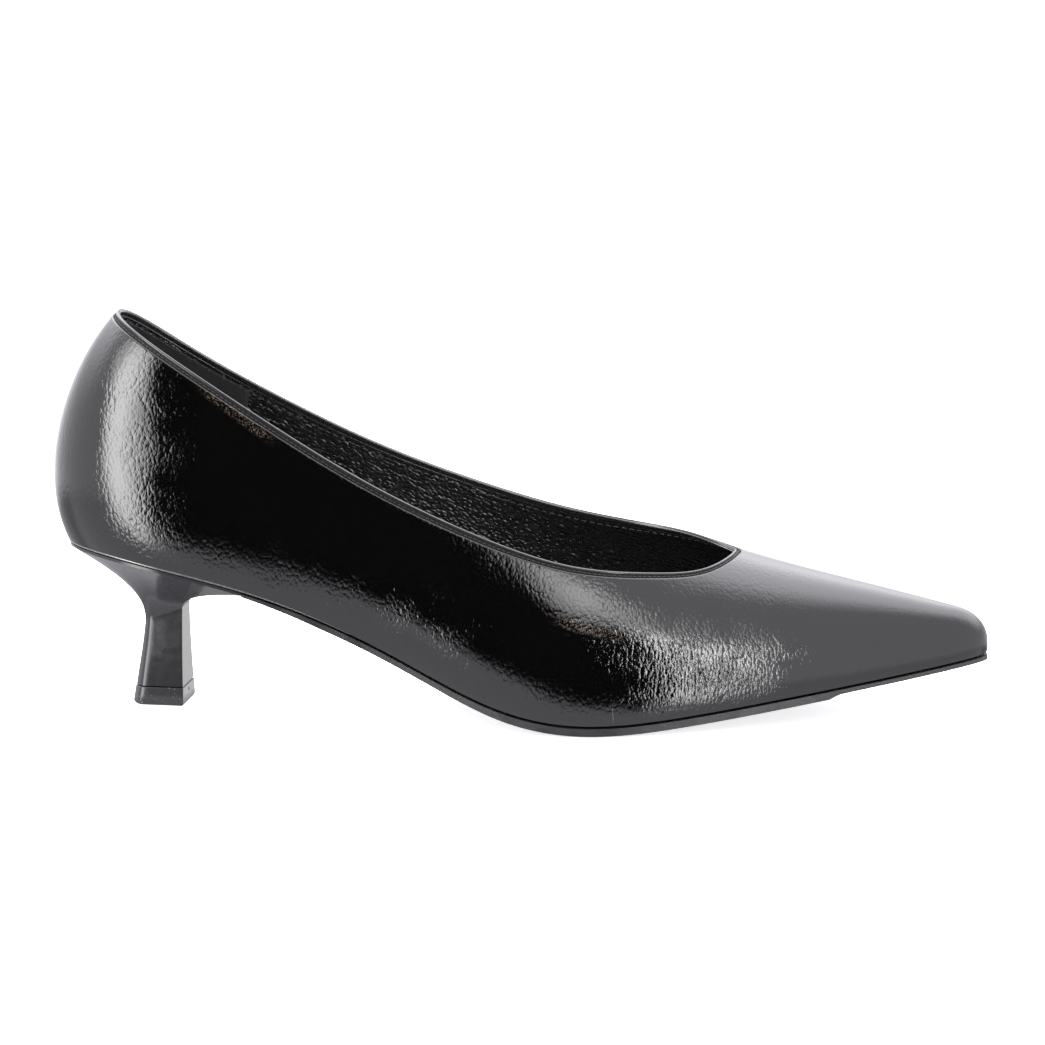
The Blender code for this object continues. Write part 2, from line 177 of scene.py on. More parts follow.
# Heel: its seat ends at the lip, and its stem is a block turned a little outward about its middle.
# The stem ends higher at its breast than at its back. Its back corners are chamfered, by shares of its length
# and half width, between the given shares of the columns from the middle of its back to its breast.
LIP = 57.0
LIP_DEPTH = 0.6
CHAMFER_LENGTH = 0.14
CHAMFER_WIDTH = 0.32
CHAMFER_PLACES = (0.46, 0.62)
STEM_MIDDLE = 31.0
STEM_TURN = 5.5
BREAST_RAISE = 5.0
TOP_PIECE_HEIGHT = 5.2
StemLevel = namedtuple("StemLevel", "z back front half_width")
STEM_LEVELS = (
    StemLevel(TOP_PIECE_HEIGHT + GAP, 23.6, 37.9, 6.5),
    StemLevel(12.0, 24.6, 37.7, 5.7),
    StemLevel(18.0, 25.5, 37.6, 4.9),
    StemLevel(23.0, 26.1, 37.6, 4.4),
)
TOP_PIECE_LEVELS = (
    StemLevel(TOP_PIECE_HEIGHT, 23.4, 38.0, 6.7),
    StemLevel(0.8, 22.8, 38.1, 7.4),
    StemLevel(0.0, 23.2, 37.8, 7.0),
)
BACK_RISE = 9.0
BREAST_RISE = 4.5
CUP_REACH = 0.45
HEEL_BEVEL = 0.4
CHAMFER_SOFTENINGS = 3
SEAM_GAP = 0.12
TACK_HEIGHT = 29.3
TACK_RADIUS = 0.35
TACK_DEPTH = 0.6
TOP_PIECE_BEVEL = 0.25
PIN_HOLE_RADIUS = 0.55
PIN_HOLE_DEPTH = 1.2
PIN_HOLE_HEIGHT = 3.6

# How finely the surfaces are divided
BACK_COLUMNS = 130
FRONT_COLUMNS = 70
UPPER_ROWS = 60
EDGE_ROW = -4
GRIP_COLUMNS = 90
GRIP_ROWS = 30
BINDING_COLUMNS = 300
SOLE_STATIONS = 220
SOLE_LANES = 41
INSOLE_STATIONS = 120
SEAT_COLUMNS = 44
BREAST_COLUMNS = 15
CUP_ROWS = 30
STEM_ROWS = 16
STITCH_SIDES = 8
STITCH_RINGS = 7
HOLE_SIDES = 24
BEVEL_SEGMENTS = 3
THROAT_CROWDING = 1.7
TOE_CROWDING = 1.35
SAMPLES = 2000
SMALL_STEP = 0.001
MERGE_DISTANCE = 0.01
SHARP_ANGLE = 40

# Camera: it looks at a point over the middle of the shoe, turned from straight side on
IMAGE_SIDE = 1045
CAMERA_TARGET = np.array((134.8, 0.0, 53.6))
CAMERA_DISTANCE = 1050.0
CAMERA_TURN = 3.5
CAMERA_HEIGHT = 11.2
PIXELS_PER_MM = 3.5
SENSOR = 36.0

# Light tent round the shoe: white cloth, brighter high up on its far side, and the floor it stands on
TENT_COLOUR = (1.0, 0.985, 1.045, 1.0)
TENT_LIGHT = 2.1
FLOOR_LIGHT = 1.6
FAR_LIGHT = 6.2
BACK_FLOOR_LIGHT = 0.75
FLOOR_EDGE = (-17.0, -9.0)
FAR_HEIGHTS = (10.0, 45.0)
FAR_DEPTHS = (-0.3, 0.2)
BACK_FLOOR_DEPTHS = (0.0, 0.3)
FLOOR_SIDE = 14.0
FLOOR_DROP = 0.0001
FLOOR_GLOW = 0.7
FLOOR_CLOUD_SIZE = 200.0
FLOOR_COLOURS = ((0.88, 0.88, 0.88), (0.92, 0.92, 0.92))

# Screens at both sides of the tent, in millimetres, with dark and bright panels on clear cloth.
# A panel's left and right edges lean as it rises, by so many millimetres for a millimetre of height.
SCREEN_AWAY = 350.0
SCREEN_LEFT = -1050.0
SCREEN_RIGHT = 700.0
SCREEN_LOW = -300.0
SCREEN_HIGH = 800.0
Panel = namedtuple("Panel", "left right low high left_lean right_lean side_blur low_blur high_blur light")
OUTER_PANELS = (
    Panel(-160.0, 165.0, -92.0, 430.0, 0.0, 0.0, 15.0, 30.0, 30.0, 0.03),
    Panel(45.0, 352.0, -128.0, 205.0, 0.0, 0.05, 40.0, 28.0, 25.0, 0.03),
    Panel(-380.0, -136.0, -155.0, 115.0, -0.3, 0.36, 16.0, 16.0, 30.0, 6.0),
    Panel(-380.0, -72.0, 90.0, 600.0, -0.3, -0.22, 16.0, 30.0, 30.0, 6.0),
    Panel(-170.0, -72.0, 330.0, 740.0, -1.1, -0.22, 30.0, 60.0, 30.0, 6.0),
    Panel(-310.0, -175.0, -120.0, 460.0, -0.4, -0.1, 70.0, 50.0, 150.0, 15.0),
    Panel(180.0, 385.0, 205.0, 415.0, 0.0, 0.0, 25.0, 38.0, 30.0, 4.6),
    Panel(235.0, 345.0, 250.0, 370.0, 0.0, 0.0, 45.0, 45.0, 45.0, 8.0),
    Panel(346.0, 374.0, -140.0, 240.0, 0.02, 0.06, 12.0, 30.0, 20.0, 9.0),
    Panel(353.0, 368.0, -115.0, 200.0, 0.02, 0.06, 12.0, 40.0, 40.0, 25.0),
)
INNER_PANELS = (
    Panel(-40.0, 95.0, -70.0, 150.0, 0.0, 0.0, 40.0, 15.0, 40.0, 0.05),
    Panel(125.0, 230.0, -110.0, 0.0, 0.0, 0.0, 15.0, 15.0, 15.0, 1.9),
    Panel(-78.0, 40.0, -300.0, -150.0, 0.0, 0.0, 10.0, 20.0, 20.0, 0.42),
)


# Curves

def closed_curve(values):
    """Return the smooth closed curve through the rows of values, which it meets at whole steps."""
    count = len(values)
    unit = np.eye(count)
    system = 4 * unit + np.roll(unit, 1, axis=0) + np.roll(unit, -1, axis=0)
    slopes = np.linalg.solve(system, 3 * (np.roll(values, -1, axis=0) - np.roll(values, 1, axis=0)))

    def at(step):
        step = np.asarray(step, dtype=float)
        whole = np.floor(step)
        part = (step - whole)[..., None]
        here = whole.astype(int) % count
        there = (here + 1) % count
        rest = 1 - part
        ends = values[here] * rest**2 * (1 + 2 * part) + values[there] * part**2 * (1 + 2 * rest)
        return ends + part * rest * (slopes[here] * rest - slopes[there] * part)

    return at


def open_curve(places, values):
    """Return the smooth curve through values at places, with no bend at its two ends."""
    count = len(places)
    spans = np.diff(places)
    system = np.eye(count)
    bends = np.zeros(count)
    for i in range(1, count - 1):
        system[i, i - 1:i + 2] = spans[i - 1], 2 * (spans[i - 1] + spans[i]), spans[i]
        bends[i] = 3 * ((values[i + 1] - values[i]) / spans[i] - (values[i] - values[i - 1]) / spans[i - 1])
    bends = np.linalg.solve(system, bends)

    def at(place):
        i = np.clip(np.searchsorted(places, place) - 1, 0, count - 2)
        run = place - places[i]
        slope = (values[i + 1] - values[i]) / spans[i] - spans[i] * (2 * bends[i] + bends[i + 1]) / 3
        bend = bends[i] + run * (bends[i + 1] - bends[i]) / (3 * spans[i])
        return values[i] + run * (slope + run * bend)

    return at


def arc_between(start, start_handle, end_handle, end, rise):
    """Return the points of a cubic arc at the given rises, from 0 at its start to 1 at its end."""
    rise = np.asarray(rise, dtype=float)[..., None]
    rest = 1 - rise
    handles = 3 * rest**2 * rise * start_handle + 3 * rest * rise**2 * end_handle
    return rest**3 * start + handles + rise**3 * end


def unit_vectors(vectors):
    """Return the vectors at length one."""
    return vectors / np.linalg.norm(vectors, axis=-1, keepdims=True)


# The last

def section_values(section, side):
    """Return one section's sizes in millimetres and radians, for its outer or inner side."""
    half = section.outer if side == OUTER else section.inner
    return (
        section.along * PERCENT * LENGTH,
        side * half * PERCENT * BALL_WIDTH,
        section.feather * PERCENT * HEEL_HEIGHT,
        section.comb_along * PERCENT * LENGTH,
        section.comb_side * PERCENT * BALL_WIDTH,
        section.comb * PERCENT * INSTEP_HEIGHT,
        np.radians(section.flare),
        section.belly,
        section.crown,
        np.radians(section.fall),
    )


OUTER_SIDE = [section_values(section, OUTER) for section in SECTIONS]
INNER_SIDE = [section_values(section, INNER) for section in reversed(SECTIONS[1:-1])]
LAST = closed_curve(np.array(OUTER_SIDE + INNER_SIDE))
TOE_STEP = len(SECTIONS) - 1
FULL_TURN = 2 * TOE_STEP
FEATHER_X = 0
COMB_X = 3
COMB_Z = 5


def feather_normal(step):
    """Return the direction that points out of the feather line in plan."""
    change = LAST(np.asarray(step) + SMALL_STEP) - LAST(np.asarray(step) - SMALL_STEP)
    return unit_vectors(np.stack([change[..., 1], -change[..., 0], np.zeros_like(change[..., 0])], axis=-1))


def surface(step, rise):
    """Return points of the last's surface, at steps round the shoe and rises from feather to comb."""
    sizes = LAST(step)
    feather = sizes[..., 0:3]
    comb = sizes[..., 3:6]
    flare, belly, crown, fall = np.moveaxis(sizes[..., 6:10], -1, 0)
    reach = (belly * (comb - feather)[..., 2])[..., None]
    outward = feather_normal(step) * np.tan(flare)[..., None]
    feather_handle = feather + reach * (outward + UP)
    across = feather - comb
    across[..., 2] = -across[..., 0] * np.tan(fall)
    comb_handle = comb + crown[..., None] * across
    return arc_between(feather, feather_handle, comb_handle, comb, rise)


def surface_normal(step, rise):
    """Return the direction that points out of the last's surface."""
    round_shoe = surface(step + SMALL_STEP, rise) - surface(step - SMALL_STEP, rise)
    up_rib = surface(step, rise + SMALL_STEP) - surface(step, rise - SMALL_STEP)
    return unit_vectors(np.cross(round_shoe, up_rib))


def seat_height():
    """Return the height of the feather line as a function of the place along the shoe."""
    line = LAST(np.linspace(0, TOE_STEP, SAMPLES))
    return lambda x: np.interp(x, line[:, 0], line[:, 2])


SEAT = seat_height()


def step_where(column, value):
    """Return the step on the outer side where one of the last's sizes reaches a value."""
    steps = np.linspace(0, TOE_STEP, SAMPLES)
    return float(np.interp(value, LAST(steps)[:, column], steps))


THROAT_STEP = step_where(COMB_X, THROAT)
LIP_STEP = step_where(FEATHER_X, LIP)
GRIP_STEP = step_where(FEATHER_X, GRIP_SEAM)


def edge_heights():
    """Return the height of the upper's cut edge along the shoe, for the outer and the inner side."""
    places = np.array([row.along * PERCENT * LENGTH for row in TOPLINE] + [THROAT])
    throat_height = float(LAST(THROAT_STEP)[COMB_Z])
    outer = np.array([row.outer * PERCENT * INSTEP_HEIGHT for row in TOPLINE] + [throat_height])
    inner = np.array([row.inner * PERCENT * INSTEP_HEIGHT for row in TOPLINE] + [throat_height])
    return {OUTER: open_curve(places, outer), INNER: open_curve(places, inner)}


EDGE = edge_heights()


def edge_rise(step):
    """Return how far up its rib the upper reaches: to its cut edge, or to the comb before the throat."""
    step = step % FULL_TURN
    side = OUTER if step <= TOE_STEP else INNER
    if min(step, FULL_TURN - step) >= THROAT_STEP:
        return 1.0
    rises = np.linspace(0, 1, SAMPLES)
    rib = surface(np.full(rises.shape, step), rises)
    above = rib[:, 2] - EDGE[side](rib[:, 0])
    first = int(np.argmax(above > 0))
    return float(np.interp(0.0, above[first - 1:first + 1], rises[first - 1:first + 1]))


def edge_rises(steps):
    """Return how far up their ribs the upper reaches at several steps."""
    return np.array([edge_rise(step) for step in steps])


def crowded(first, last, count, crowding):
    """Return steps from first to last, closest together at the last."""
    return first + (last - first) * (1 - (1 - np.linspace(0, 1, count + 1)) ** crowding)


def eased(count):
    """Return shares from 0 to 1, closest together at both ends."""
    return (1 - np.cos(np.linspace(0, np.pi, count))) / 2


# Meshes

def make_piece(name, points, faces, sink=0.0):
    """Add a mesh from points in millimetres, doubled points merged, moved in along its normals by sink."""
    mesh = bpy.data.meshes.new(name)
    rows = (np.asarray(points).reshape(-1, 3) - ORIGIN) * MM
    mesh.from_pydata(rows.tolist(), [], faces)
    built = bmesh.new()
    built.from_mesh(mesh)
    bmesh.ops.remove_doubles(built, verts=built.verts, dist=MERGE_DISTANCE * MM)
    bmesh.ops.dissolve_degenerate(built, edges=built.edges, dist=MERGE_DISTANCE * MM)
    if all(edge.is_manifold for edge in built.edges):
        bmesh.ops.recalc_face_normals(built, faces=built.faces)
    built.normal_update()
    moves = [vertex.normal * sink * MM for vertex in built.verts]
    for vertex, move in zip(built.verts, moves):
        vertex.co -= move
    built.to_mesh(mesh)
    built.free()
    mesh.shade_smooth()
    mesh.set_sharp_from_angle(angle=np.radians(SHARP_ANGLE))
    piece = bpy.data.objects.new(name, mesh)
    bpy.context.scene.collection.objects.link(piece)
    return piece


def dress(piece, material, node):
    """Give a piece its material, hide the part's node that it stands for, and let it ride on the part."""
    piece.data.materials.append(material)
    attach(piece, "root")
    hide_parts(node)


def grid_faces(columns, rows, closed):
    """Return the faces of a grid of points, column by column, which closes on itself if asked to."""
    faces = []
    for i in range(columns if closed else columns - 1):
        beside = (i + 1) % columns
        for j in range(rows - 1):
            faces.append((i * rows + j, beside * rows + j, beside * rows + j + 1, i * rows + j + 1))
    return faces


def ring_faces(rings, count, closed_loop):
    """Return the faces of a tube over rings of points, which either closes on itself or has two flat ends."""
    faces = []
    for level in range(rings if closed_loop else rings - 1):
        here = level * count
        above = (level + 1) % rings * count
        for i in range(count):
            beside = (i + 1) % count
            faces.append((here + i, here + beside, above + beside, above + i))
    if not closed_loop:
        faces.append(tuple(reversed(range(count))))
        faces.append(tuple(range((rings - 1) * count, rings * count)))
    return faces


def thicken(piece, thickness):
    """Give an open surface a thickness on its inside."""
    wall = piece.modifiers.new("wall", "SOLIDIFY")
    wall.thickness = thickness * MM
    wall.offset = -1.0
    wall.use_even_offset = False


def break_edges(piece, width):
    """Round the sharp edges of a solid."""
    bevel = piece.modifiers.new("edges", "BEVEL")
    bevel.width = width * MM
    bevel.segments = BEVEL_SEGMENTS
    bevel.limit_method = "ANGLE"
    bevel.angle_limit = np.radians(SHARP_ANGLE)
    bevel.harden_normals = True


# Upper

def upper_columns():
    """Return the steps of the upper's ribs right round the shoe."""
    collar = crowded(0, THROAT_STEP, BACK_COLUMNS, THROAT_CROWDING)
    toe = crowded(THROAT_STEP, TOE_STEP, FRONT_COLUMNS, TOE_CROWDING)
    outer = np.concatenate([collar, toe[1:]])
    return np.concatenate([outer, FULL_TURN - outer[-2:0:-1]])


def upper_grid():
    """Return the steps and rises of the upper's surface: a column for each rib, a row for each height."""
    columns = upper_columns()
    steps = np.repeat(columns[:, None], UPPER_ROWS, axis=1)
    rises = edge_rises(columns)[:, None] * eased(UPPER_ROWS)
    return steps, rises


def crease_depth(points, side, crease):
    """Return how deep one crease presses in at each point."""
    start = np.array((crease.x0, crease.z0))
    run = np.array((crease.x1, crease.z1)) - start
    flat = points[..., [0, 2]] - start
    share = np.clip(flat @ run / (run @ run), 0, 1)
    away = np.linalg.norm(flat - share[..., None] * run, axis=-1)
    return np.where(side == crease.side, crease.depth * np.exp(-(away / crease.half_width) ** 2), 0.0)


def rolled_in(away, radius):
    """Return how deep a rounded edge draws in, at a distance away from it."""
    short = np.clip(radius - away, 0, radius)
    return radius - np.sqrt(radius**2 - short**2)


def make_upper(material):
    """The outer leather: the last's surface with its creases, its foot and its cut edge rolled in."""
    steps, rises = upper_grid()
    points = surface(steps, rises)
    normals = surface_normal(steps, rises)
    side = np.where(steps <= TOE_STEP, OUTER, INNER)
    depth = sum(crease_depth(points, side, crease) for crease in CREASES)
    from_foot = np.linalg.norm(points - points[:, :1], axis=-1)
    from_edge = np.linalg.norm(points - points[:, -1:], axis=-1)
    along_edge = unit_vectors(np.roll(points[:, -1], -1, axis=0) - np.roll(points[:, -1], 1, axis=0))
    up_rib = unit_vectors(points[:, -1] - points[:, EDGE_ROW])
    from_edge = from_edge * np.linalg.norm(np.cross(along_edge, up_rib), axis=-1)[:, None]
    collar = np.minimum(steps, FULL_TURN - steps) <= THROAT_STEP
    edge_depth = np.where(collar, rolled_in(from_edge, EDGE_ROLL), 0.0)
    depth = depth + rolled_in(from_foot, FEATHER_ROLL) + edge_depth
    points = points - normals * depth[..., None]
    upper = make_piece("upper_leather", points, grid_faces(len(steps), UPPER_ROWS, closed=True))
    thicken(upper, LEATHER)
    dress(upper, material, "upper")


def make_lining(material):
    """The lining inside the leather, up to the same cut edge."""
    steps, rises = upper_grid()
    faces = grid_faces(len(steps), UPPER_ROWS, closed=True)
    lining = make_piece("lining", surface(steps, rises), faces, sink=LINING_DEPTH)
    thicken(lining, LINING)
    dress(lining, material, "upper")


def make_heel_grip(material):
    """The heel grip: a softer patch on the lining round the back, forward to its seam."""
    columns = np.linspace(-GRIP_STEP, GRIP_STEP, GRIP_COLUMNS)
    tops = edge_rises(columns)
    heights = GRIP_FOOT + (GRIP_TOP - GRIP_FOOT) * eased(GRIP_ROWS)
    steps = np.repeat(columns[:, None], GRIP_ROWS, axis=1)
    points = surface(steps, tops[:, None] * heights)
    grip = make_piece("heel_grip", points, grid_faces(GRIP_COLUMNS, GRIP_ROWS, closed=False), sink=WALL)
    thicken(grip, GRIP)
    dress(grip, material, "upper")


# Topline

def topline():
    """Return the upper's cut edge as a closed line, with the directions along it, out of it and off it."""
    outer = crowded(0, THROAT_STEP, BINDING_COLUMNS, THROAT_CROWDING)
    columns = np.concatenate([FULL_TURN - outer[::-1], outer[1:-1]])
    rises = edge_rises(columns)
    edge = surface(columns, rises)
    along = unit_vectors(np.roll(edge, -1, axis=0) - np.roll(edge, 1, axis=0))
    out = surface_normal(columns, rises)
    off = unit_vectors(np.cross(out, along))
    return edge, along, out, off


def make_edging(name, profile, material):
    """A strip of one section all along the topline."""
    edge, _, out, off = topline()
    profile = np.array(profile)
    rings = edge[:, None] + out[:, None] * profile[:, :1] + off[:, None] * profile[:, 1:]
    faces = ring_faces(len(rings), len(profile), closed_loop=True)
    dress(make_piece(name, rings, faces), material, "topline_binding")


def stitch_shape(row):
    """Return the points and faces of one stitch, along, out and up: a thread that dives in at both ends."""
    shares = np.linspace(-1, 1, STITCH_RINGS)
    angles = np.linspace(0, 2 * np.pi, STITCH_SIDES, endpoint=False)
    girth = row.radius * np.sqrt(1 - STITCH_TAPER * shares**4)
    rings = np.empty((STITCH_RINGS, STITCH_SIDES, 3))
    rings[..., 0] = shares[:, None] * row.length / 2
    rings[..., 1] = girth[:, None] * np.cos(angles) - STITCH_DIVE * row.radius * (shares**2)[:, None]
    rings[..., 2] = girth[:, None] * np.sin(angles)
    return rings.reshape(-1, 3), ring_faces(STITCH_RINGS, STITCH_SIDES, closed_loop=False)


def make_stitches(row, material):
    """One row of stitches all round the topline, evenly spaced."""
    edge, along, out, off = topline()
    line = edge + out * row.out + off * row.up
    lengths = np.linalg.norm(np.roll(line, -1, axis=0) - line, axis=1)
    run = np.concatenate([[0.0], np.cumsum(lengths)])
    count = int(run[-1] / row.pitch)
    places = np.linspace(0, run[-1], count, endpoint=False)

    def spaced(values):
        looped = np.concatenate([values, values[:1]])
        return np.stack([np.interp(places, run, looped[:, k]) for k in range(3)], axis=1)

    shape, faces = stitch_shape(row)
    frames = np.stack([spaced(along), spaced(out), spaced(off)], axis=1)
    points = spaced(line)[:, None] + shape @ unit_vectors(frames)
    offsets = np.arange(count) * len(shape)
    every_face = [tuple(i + offset for i in face) for offset in offsets for face in faces]
    stitches = make_piece(row.name, points, every_face)
    dress(stitches, material, "topline_binding")


def make_foot_fold(material):
    """The fold of the leather's foot round the heel, in a lighter colour that is a painted highlight along
    the leather's lower edge.
    """
    end = step_where(FEATHER_X, FOLD_END)
    steps = np.linspace(-end, end, FOLD_RINGS)
    angles = np.linspace(0, 2 * np.pi, FOLD_SIDES, endpoint=False)
    girth = FOLD_RADIUS * np.sqrt(1 - (steps / end) ** 4)[:, None]
    line = LAST(steps % FULL_TURN)[:, None, 0:3] + FOLD_UP * UP
    out = feather_normal(steps % FULL_TURN)[:, None]
    rings = line + (girth * np.cos(angles))[..., None] * out + (girth * np.sin(angles))[..., None] * UP
    fold = make_piece("foot_fold_painted_highlight", rings, ring_faces(FOLD_RINGS, FOLD_SIDES, closed_loop=False))
    dress(fold, material, "upper")


# Insole and outsole

def feather_pair(step, outset):
    """Return the outer and inner points at one step of the feather line, moved out of it by outset."""
    steps = np.array((step, FULL_TURN - step))
    return LAST(steps)[:, 0:3] + outset * feather_normal(steps)


def make_sock(material):
    """The sock on the insole: a plate inside the lining, dished under the foot, with rounded edges."""
    lanes = np.linspace(-1, 1, SOLE_LANES)
    rings = []
    for step in TOE_STEP * eased(INSOLE_STATIONS):
        outer, inner = feather_pair(step, -INSOLE_INSET)
        bottom = outer + np.outer((lanes + 1) / 2, inner - outer)
        bottom[:, 2] = SEAT(bottom[:, 0])
        top = bottom[::-1].copy()
        top[:, 2] += INSOLE_THICKNESS - INSOLE_DISH * (1 - lanes**2)
        rings.append(np.concatenate([bottom, top]))
    sock = make_piece("sock", rings, ring_faces(len(rings), 2 * SOLE_LANES, closed_loop=False))
    dress(sock, material, "insole")


def make_outsole(material):
    """The outsole from the heel's lip to the toe, flat where it stands, with its tread's bevelled end."""
    places = [row.x for row in SOLE_DEPTHS]
    lanes = np.sin(np.linspace(-np.pi / 2, np.pi / 2, SOLE_LANES))
    deep = np.clip((1 - np.abs(lanes)) / (1 - SOLE_FLAT), 0, 1)
    deep = deep * (2 - deep)
    first = step_where(FEATHER_X, LIP + SOLE_JOIN)
    bevel = [step_where(FEATHER_X, x) for x in (TREAD_END, TREAD_END + TREAD_BEVEL)]
    steps = np.sort(np.append(first + (TOE_STEP - first) * eased(SOLE_STATIONS), bevel))
    rings = []
    for step in steps:
        outer, inner = feather_pair(step, SOLE_OUTSET)
        top = outer + np.outer((lanes + 1) / 2, inner - outer)
        top[:, 2] = SEAT(top[:, 0]) - GAP
        edge = np.interp(top[:, 0], places, [row.edge for row in SOLE_DEPTHS])
        middle = np.interp(top[:, 0], places, [row.middle for row in SOLE_DEPTHS])
        bottom = top.copy()
        bottom[:, 2] = np.maximum(top[:, 2] - edge - (middle - edge) * deep, 0.0)
        rings.append(np.concatenate([top, bottom[::-1]]))
    outsole = make_piece("outsole_unit", rings, ring_faces(len(rings), 2 * SOLE_LANES, closed_loop=False))
    break_edges(outsole, SOLE_EDGE_BEVEL)
    dress(outsole, material, "outsole")


# Heel

def stem_ring(level, raised=0.0):
    """Return one level of the stem: round its back and sides, then across its breast, which may be raised."""
    columns = np.arange(-SEAT_COLUMNS, SEAT_COLUMNS + 1)
    corners = np.rint(SEAT_COLUMNS * np.array((0.0, *CHAMFER_PLACES, 1.0)))
    forward = np.interp(np.abs(columns), corners, (0.0, 0.0, CHAMFER_LENGTH, 1.0))
    across = np.sign(columns) * np.interp(np.abs(columns), corners, (0.0, 1.0 - CHAMFER_WIDTH, 1.0, 1.0))
    for _ in range(CHAMFER_SOFTENINGS):
        forward[1:-1] = (forward[:-2] + 2 * forward[1:-1] + forward[2:]) / 4
        across[1:-1] = (across[:-2] + 2 * across[1:-1] + across[2:]) / 4
    breast = 1 - 2 * np.linspace(0, 1, BREAST_COLUMNS + 2)[1:-1]
    forward = np.concatenate([forward, np.ones(BREAST_COLUMNS)])
    across = level.half_width * np.concatenate([across, breast])
    ahead = level.back + (level.front - level.back) * forward - STEM_MIDDLE
    turn = np.radians(STEM_TURN)
    x = STEM_MIDDLE + ahead * np.cos(turn) + across * np.sin(turn)
    y = across * np.cos(turn) - ahead * np.sin(turn)
    return np.stack([x, y, level.z + raised * forward], axis=1)


def stem_direction():
    """Return the direction in which the stem's breast faces."""
    turn = np.radians(STEM_TURN)
    return np.array((np.cos(turn), -np.sin(turn), 0.0))


def stem_rings():
    """Return the levels of the stem from its top down, on smooth curves through the given ones."""
    heights = np.array([level.z for level in STEM_LEVELS])
    curves = [open_curve(heights, np.array(column)) for column in list(zip(*STEM_LEVELS))[1:]]
    rings = []
    for share in np.linspace(1, 0, STEM_ROWS):
        z = heights[0] + share * (heights[-1] - heights[0])
        level = StemLevel(z, *(float(curve(z)) for curve in curves))
        rings.append(stem_ring(level, share * BREAST_RAISE))
    return rings


def seat_ring():
    """Return the heel's top rim: along the feather line round the back, then across the lip."""
    steps = np.linspace(-LIP_STEP, LIP_STEP, 2 * SEAT_COLUMNS + 1)
    rim = LAST(-steps % FULL_TURN)[:, 0:3]
    share = np.linspace(0, 1, BREAST_COLUMNS + 2)[1:-1, None]
    return np.concatenate([rim, rim[-1] + share * (rim[0] - rim[-1])]) - SEAM_GAP * UP


def make_heel(material):
    """The heel: a cup under the seat that draws in to the stem, and the stem that flares to its foot."""
    rim = seat_ring()
    stem = stem_rings()
    edge = rim - (LIP_DEPTH + GAP - SEAM_GAP) * UP
    forward = (stem[0][:, 2] - STEM_LEVELS[-1].z) / BREAST_RAISE
    upward = stem[0] - stem[1]
    upward = upward / upward[:, 2:]
    stem_handle = stem[0] + (BACK_RISE + (BREAST_RISE - BACK_RISE) * forward)[:, None] * upward
    edge_handle = edge + CUP_REACH * (stem_handle - edge)
    shares = np.linspace(0, 1, CUP_ROWS)
    cup = [arc_between(edge, edge_handle, stem_handle, stem[0], share) for share in shares]
    rings = [rim] + cup + stem[1:]
    count = len(rim)
    faces = ring_faces(len(rings), count, closed_loop=False)[:-2]
    last = 2 * SEAT_COLUMNS
    faces.append(tuple(range((len(rings) - 1) * count, len(rings) * count)))
    faces.extend((i, i + 1, last - i - 1, last - i) for i in range(1, SEAT_COLUMNS - 1))
    faces.append((SEAT_COLUMNS - 1, SEAT_COLUMNS, SEAT_COLUMNS + 1))
    faces.append((0, 1, last - 1, last, *range(last + 1, count)))
    heel = make_piece("heel_block", rings, faces)
    break_edges(heel, HEEL_BEVEL)
    breast = np.array(cup)[:, last + 1 + BREAST_COLUMNS // 2]
    tack = breast[np.argmin(np.abs(breast[:, 2] - TACK_HEIGHT))]
    cut_hole(heel, tack, stem_direction(), TACK_RADIUS, TACK_DEPTH)
    dress(heel, material, "heel")


def cut_hole(piece, centre, direction, radius, depth):
    """Cut a round blind hole into a piece at a point of its face."""
    cutter_mesh = bpy.data.meshes.new("hole")
    built = bmesh.new()
    bmesh.ops.create_cone(built, cap_ends=True, segments=HOLE_SIDES, radius1=radius * MM, radius2=radius * MM,
                          depth=2 * depth * MM)
    built.to_mesh(cutter_mesh)
    built.free()
    cutter = bpy.data.objects.new("hole", cutter_mesh)
    bpy.context.scene.collection.objects.link(cutter)
    turn = Vector(direction).to_track_quat("Z", "Y").to_matrix().to_4x4()
    cutter.matrix_world = Matrix.Translation(Vector((np.array(centre) - ORIGIN) * MM)) @ turn
    cut = piece.modifiers.new("hole", "BOOLEAN")
    cut.object = cutter
    bpy.context.view_layer.update()
    evaluated = piece.evaluated_get(bpy.context.evaluated_depsgraph_get())
    piece.data = bpy.data.meshes.new_from_object(evaluated)
    piece.modifiers.clear()
    bpy.data.objects.remove(cutter)


def make_top_piece(material):
    """The wearing block under the heel, with its edges broken and a pin hole in its breast."""
    rings = [stem_ring(level) for level in TOP_PIECE_LEVELS]
    piece = make_piece("top_piece", rings, ring_faces(len(rings), len(rings[0]), closed_loop=False))
    break_edges(piece, TOP_PIECE_BEVEL)
    middle = np.array((STEM_MIDDLE, 0.0, PIN_HOLE_HEIGHT))
    centre = middle + (TOP_PIECE_LEVELS[0].front - STEM_MIDDLE) * stem_direction()
    cut_hole(piece, centre, stem_direction(), PIN_HOLE_RADIUS, PIN_HOLE_DEPTH)
    dress(piece, material, "heel_top_piece")


# Materials

def add_node(tree, kind, inputs, **settings):
    """Add a node, with its settings, and its inputs as numbers, colours or other nodes' outputs."""
    made = tree.nodes.new(kind)
    for name, value in settings.items():
        setattr(made, name, value)
    for name, value in inputs.items():
        socket = made.inputs[name]
        if isinstance(value, bpy.types.NodeSocket):
            tree.links.new(value, socket)
        else:
            socket.default_value = value
    return made


def calculate(tree, operation, first, second=0.0, third=0.0):
    """Return the result of a sum on numbers or outputs."""
    inputs = {0: first, 1: second, 2: third}
    return add_node(tree, "ShaderNodeMath", inputs, operation=operation).outputs[0]


